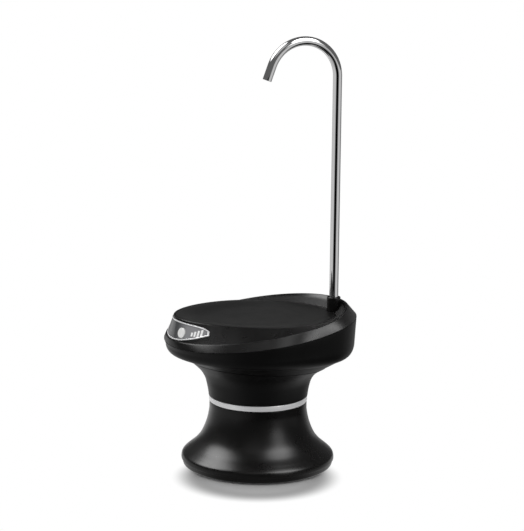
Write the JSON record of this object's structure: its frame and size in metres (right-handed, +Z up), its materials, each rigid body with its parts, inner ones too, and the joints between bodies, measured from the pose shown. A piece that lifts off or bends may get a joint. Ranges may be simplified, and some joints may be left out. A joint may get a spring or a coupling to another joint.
{
  "type": "bottled water pump",
  "caption": "Battery water pump that lifts water from a bottle through a swivelling gooseneck spout onto a glass tray, parked on a flared stand that takes the bottle's place",
  "frame": {"origin": "Centre of the foot pad's underside, on the axis of the stand and neck", "axes": "+Z up, -Y the front with the control panel, +Y the back with the spout socket, +X the right-hand side seen from the front"},
  "size_m": [0.1446, 0.173, 0.3784],
  "materials": {
    "black_rubber": "matte",
    "board_green": "satin",
    "cell_blue": "gloss",
    "chrome": "mirror polished",
    "gear_white": "satin",
    "gloss_black": "gloss",
    "inner_black": "matte",
    "lead_red": "satin",
    "matte_black": "satin",
    "silicone": "satin",
    "silver": "satin",
    "smoked_lens": "gloss",
    "steel": "plain",
    "white_plastic": "satin"
  },
  "bodies": {
    "stand": {"stand_shell": "gloss_black", "foot_pad": "black_rubber", "base_plate": "inner_black", "base_weight": "steel", "base_screw_1": "steel", "base_screw_2": "steel", "base_screw_3": "steel"},
    "head": {"battery_cell": "cell_blue", "battery_holder": "inner_black", "battery_lead": "lead_red", "bottle_seal": "silicone", "charge_board": "board_green", "charge_port_shell": "silver", "control_board": "board_green", "driven_gear_pin": "steel", "head_bowl": "matte_black", "head_screw_1": "steel", "head_screw_2": "steel", "head_screw_3": "steel", "head_screw_4": "steel", "inlet_hose": "silicone", "inlet_nipple": "white_plastic", "motor_lead": "lead_red", "motor_strap": "steel", "neck_screw_1": "steel", "neck_screw_2": "steel", "neck_screw_3": "steel", "neck_shell": "matte_black", "outlet_hose": "silicone", "panel_frame": "silver", "panel_lens": "smoked_lens", "pump_body": "inner_black", "pump_cover": "inner_black", "pump_motor": "steel", "pump_screw_1": "steel", "pump_screw_2": "steel", "socket_oring": "black_rubber", "spout_socket": "gloss_black", "tact_switch": "inner_black", "top_cover": "gloss_black", "trim_ring": "silver"},
    "tray": {"drip_tray": "gloss_black"},
    "spout": {"spout_tube": "chrome"},
    "button": {"power_button": "white_plastic"},
    "drive": {"drive_gear": "gear_white"},
    "driven": {"driven_gear": "gear_white"}
  },
  "joints": [
    {"name": "head_lift", "type": "slide", "parent": "stand", "child": "head", "axis": [0, 0, 1], "range_m": [0, 0.06]},
    {"name": "tray_lift", "type": "slide", "parent": "head", "child": "tray", "axis": [0, 0, 1], "range_m": [0, 0.03]},
    {"name": "spout_swivel", "type": "hinge", "parent": "head", "child": "spout", "pos_m": [0, 0.0715, 0.1465], "axis": [0, 0, 1], "range_deg": [-90, 90]},
    {"name": "button_press", "type": "slide", "parent": "head", "child": "button", "axis": [-0.3044, 0.9042, -0.2998], "range_m": [0, 0.0006], "stiffness_N_per_m": 400, "springref_m": -0.001},
    {"name": "drive_turn", "type": "hinge", "parent": "head", "child": "drive", "pos_m": [-0.0268, 0.009, 0.11575], "axis": [0, 1, 0], "continuous": true},
    {"name": "driven_turn", "type": "hinge", "parent": "head", "child": "driven", "pos_m": [-0.01465, 0.009, 0.11575], "axis": [0, 1, 0], "continuous": true}
  ],
  "couplings": [
    {"joint": "driven_turn", "follows": "drive_turn", "ratio": -1}
  ]
}
